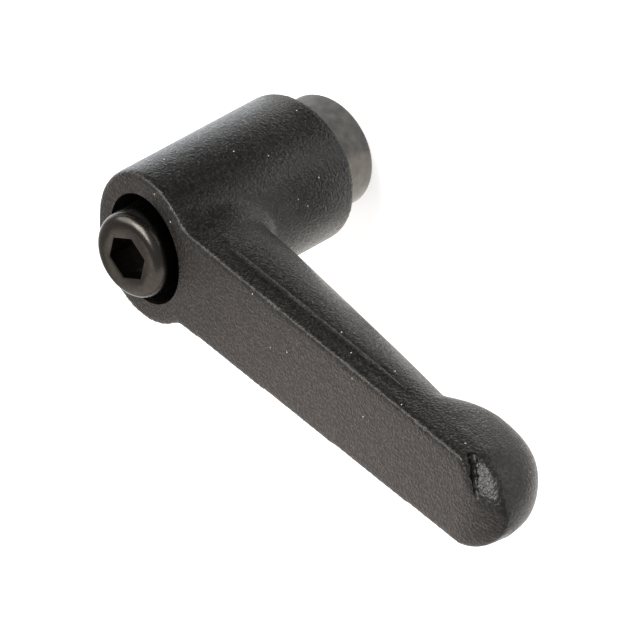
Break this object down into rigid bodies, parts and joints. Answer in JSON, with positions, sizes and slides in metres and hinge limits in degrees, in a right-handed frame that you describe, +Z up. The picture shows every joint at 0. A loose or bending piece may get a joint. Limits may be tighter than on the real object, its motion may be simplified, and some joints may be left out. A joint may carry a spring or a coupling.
{
  "type": "adjustable clamping lever",
  "caption": "Black cast clamping lever with a round hub, a flat-fronted rising arm and a rounded knob; a sprung screw holds the hub on a serrated insert with an internal clamping thread.",
  "frame": {"origin": "middle of the clamping face under the insert, at the mouth of the clamping thread", "axes": "+Z up the hub axis towards the screw head, +X along the arm, +Y across it"},
  "size_m": [0.0728, 0.0192, 0.0455],
  "materials": {
    "black_coat": "fine textured black powder coat on a zinc casting",
    "black_steel": "turned and blackened",
    "screw_steel": "blackened, satin",
    "spring_steel": "bright drawn wire"
  },
  "bodies": {
    "core": {"threaded_insert": "black_steel", "retaining_screw": "screw_steel"},
    "spring_carrier": {"spring": "spring_steel"},
    "lever": {"lever": "black_coat"}
  },
  "joints": [
    {"name": "lever_index", "type": "hinge", "parent": "core", "child": "spring_carrier", "pos_m": [0, 0, 0.0218], "axis": [0, 0, 1], "continuous": true},
    {"name": "lever_lift", "type": "slide", "parent": "spring_carrier", "child": "lever", "axis": [0, 0, 1], "range_m": [0, 0.004], "stiffness_N_per_m": 1500, "springref_m": -0.004, "deforming": ["spring"]}
  ]
}
